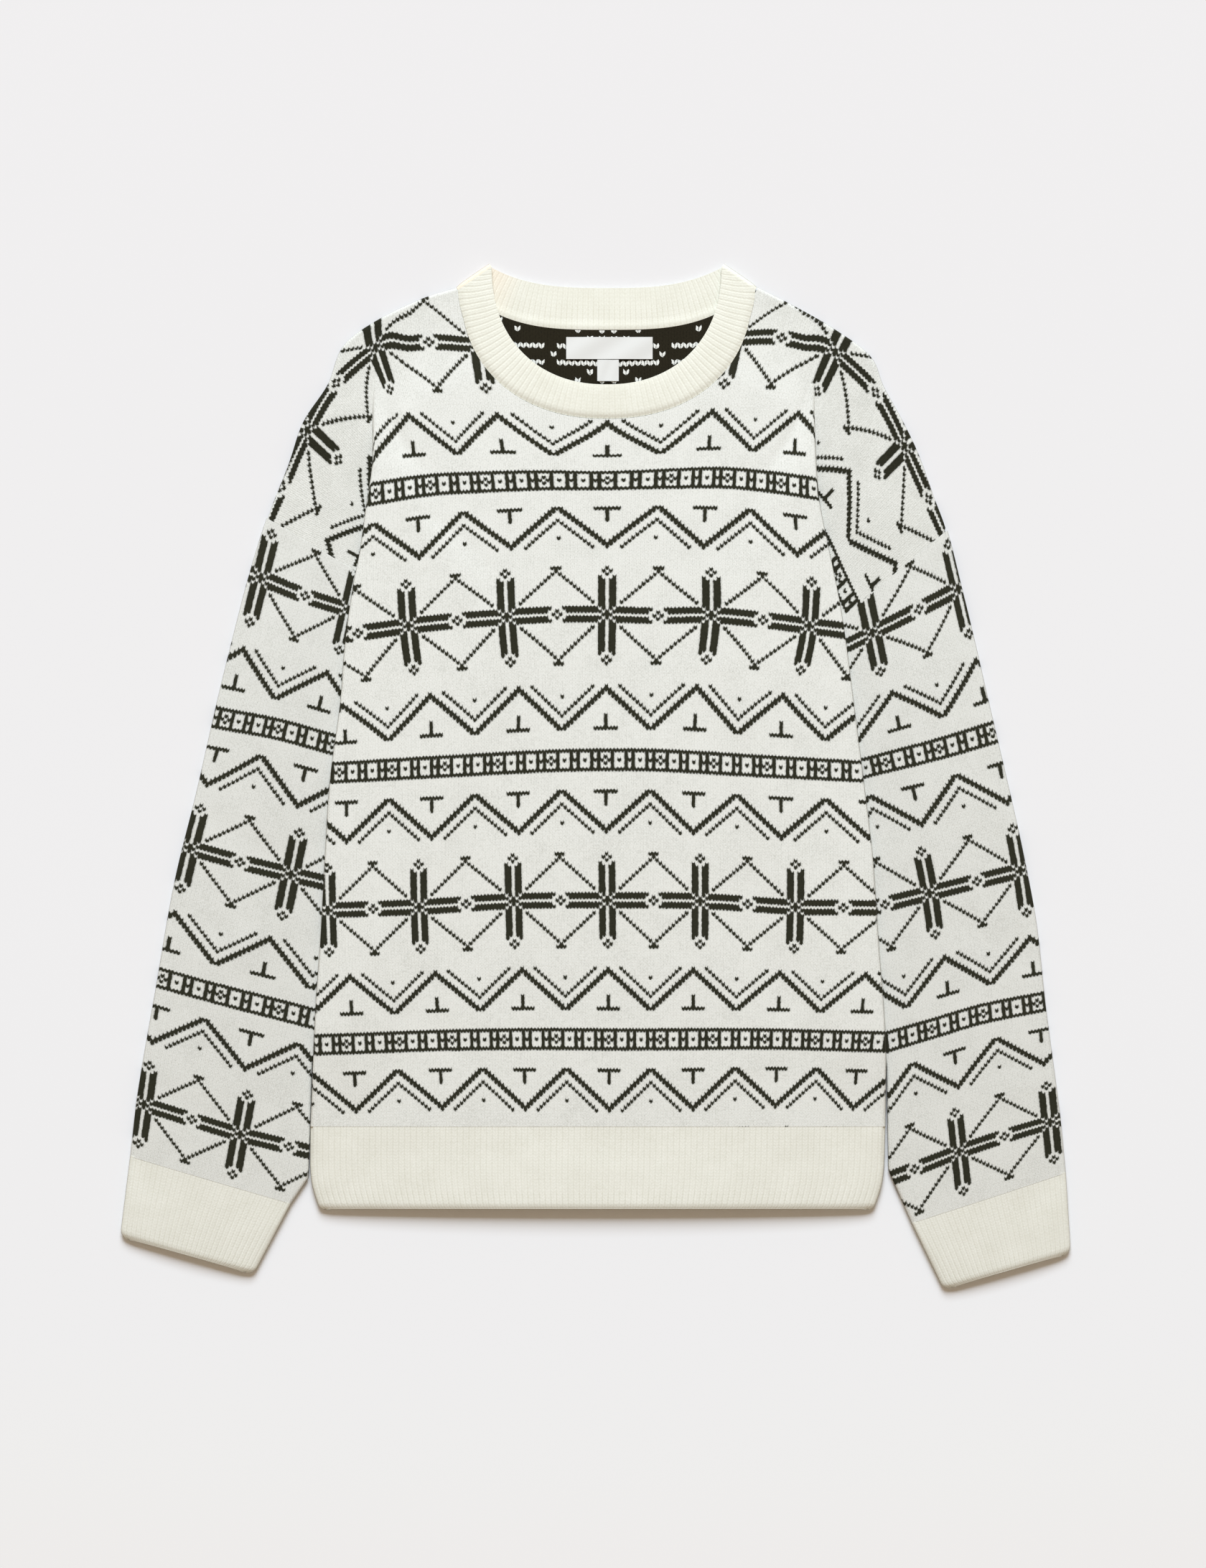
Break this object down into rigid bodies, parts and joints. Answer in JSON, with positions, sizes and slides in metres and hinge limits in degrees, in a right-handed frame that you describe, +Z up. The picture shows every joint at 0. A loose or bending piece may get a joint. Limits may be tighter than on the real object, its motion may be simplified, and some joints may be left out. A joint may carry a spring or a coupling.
{
  "type": "fair isle jumper",
  "caption": "Fair isle jumper laid flat front side up, with a ribbed crew neck, dropped shoulders, long sleeves beside the body, and ribbed cuffs and hem.",
  "frame": {"origin": "middle of the box's base: the middle of the garment's width and length, at the height of the surface it lies on", "axes": "+X across the garment towards the viewer's right, +Y up the garment towards the neck, +Z up from the surface, out of the front"},
  "size_m": [0.6824, 0.7334, 0.0106],
  "materials": {
    "jacquard_knit": "matte wool-blend stocking stitch in two colours",
    "rib_knit": "matte cream rib",
    "satin": "soft sheen, bare"
  },
  "bodies": {
    "root": {"front_panel": "jacquard_knit", "back_panel": "jacquard_knit", "sleeve_left": "jacquard_knit", "sleeve_right": "jacquard_knit", "neckband": "rib_knit", "hem_rib": "rib_knit", "cuff_left": "rib_knit", "cuff_right": "rib_knit", "neck_label": "satin", "size_label": "satin"}
  },
  "joints": []
}
